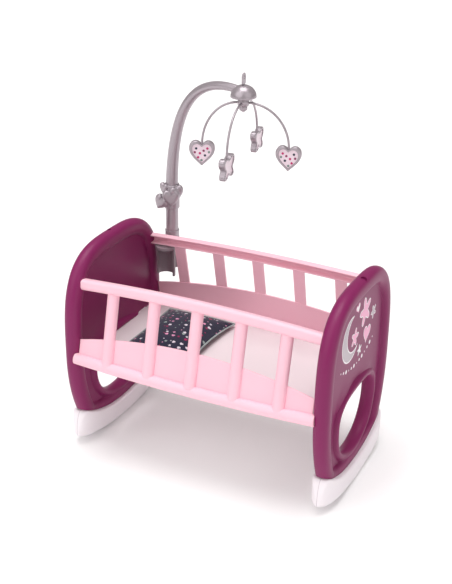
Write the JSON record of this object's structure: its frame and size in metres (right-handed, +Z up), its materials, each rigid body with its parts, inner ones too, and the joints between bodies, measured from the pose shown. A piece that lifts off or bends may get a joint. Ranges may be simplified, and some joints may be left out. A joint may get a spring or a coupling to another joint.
{
  "type": "doll cradle",
  "caption": "Rocking doll cradle with arched end panels, slatted sides, a bed base with a pillow, and a post carrying a turning mobile of hearts and butterflies.",
  "frame": {"origin": "middle of the bounding box at the floor", "axes": "+X from the head end to the foot end, +Y from the front side to the back side where the mobile stands, +Z up"},
  "size_m": [0.5466, 0.41, 0.6978],
  "materials": {
    "plum_plastic": "smooth, softly glossy",
    "pink_plastic": "smooth, satin",
    "white_plastic": "smooth, satin",
    "silver_plastic": "silver-grey, pearly satin",
    "pink_face": "printed pale pink with small dots",
    "navy_cloth": "navy print with small pale motifs",
    "screw_steel": "zinc plated"
  },
  "bodies": {
    "cradle": {"head_panel": "plum_plastic", "foot_panel": "plum_plastic", "head_rocker": "white_plastic", "foot_rocker": "white_plastic", "head_rocker_screw_front": "screw_steel", "head_rocker_screw_back": "screw_steel", "foot_rocker_screw_front": "screw_steel", "foot_rocker_screw_back": "screw_steel", "front_side": "pink_plastic", "back_side": "pink_plastic", "bed_base": "white_plastic", "mobile_bracket": "silver_plastic", "post_collar": "silver_plastic", "lower_post": "silver_plastic", "heart_cluster": "silver_plastic"},
    "pillow": {"pillow": "navy_cloth"},
    "mobile_arm": {"curved_arm": "silver_plastic", "mobile_dome": "silver_plastic", "top_ring": "silver_plastic"},
    "rotor": {"rotor_hub": "silver_plastic", "hub_nose": "silver_plastic", "heart_foot_rod": "silver_plastic", "heart_foot_frame": "silver_plastic", "heart_foot_face_left": "pink_face", "heart_foot_face_right": "pink_face", "butterfly_back_rod": "silver_plastic", "butterfly_back_frame": "silver_plastic", "butterfly_back_face_left": "pink_face", "butterfly_back_face_right": "pink_face", "heart_head_rod": "silver_plastic", "heart_head_frame": "silver_plastic", "heart_head_face_left": "pink_face", "heart_head_face_right": "pink_face", "butterfly_front_rod": "silver_plastic", "butterfly_front_frame": "silver_plastic", "butterfly_front_face_left": "pink_face", "butterfly_front_face_right": "pink_face"}
  },
  "joints": [
    {"name": "mobile_spin", "type": "hinge", "parent": "mobile_arm", "child": "rotor", "pos_m": [-0.036, 0.0844, 0.652], "axis": [0, 0, 1], "continuous": true},
    {"name": "arm_swing", "type": "hinge", "parent": "cradle", "child": "mobile_arm", "pos_m": [-0.2075, 0.1214, 0.42], "axis": [0, 0, 1], "range_deg": [-90, 90]},
    {"name": "pillow_lift", "type": "slide", "parent": "cradle", "child": "pillow", "axis": [0, 0, 1], "range_m": [0, 0.12]}
  ]
}
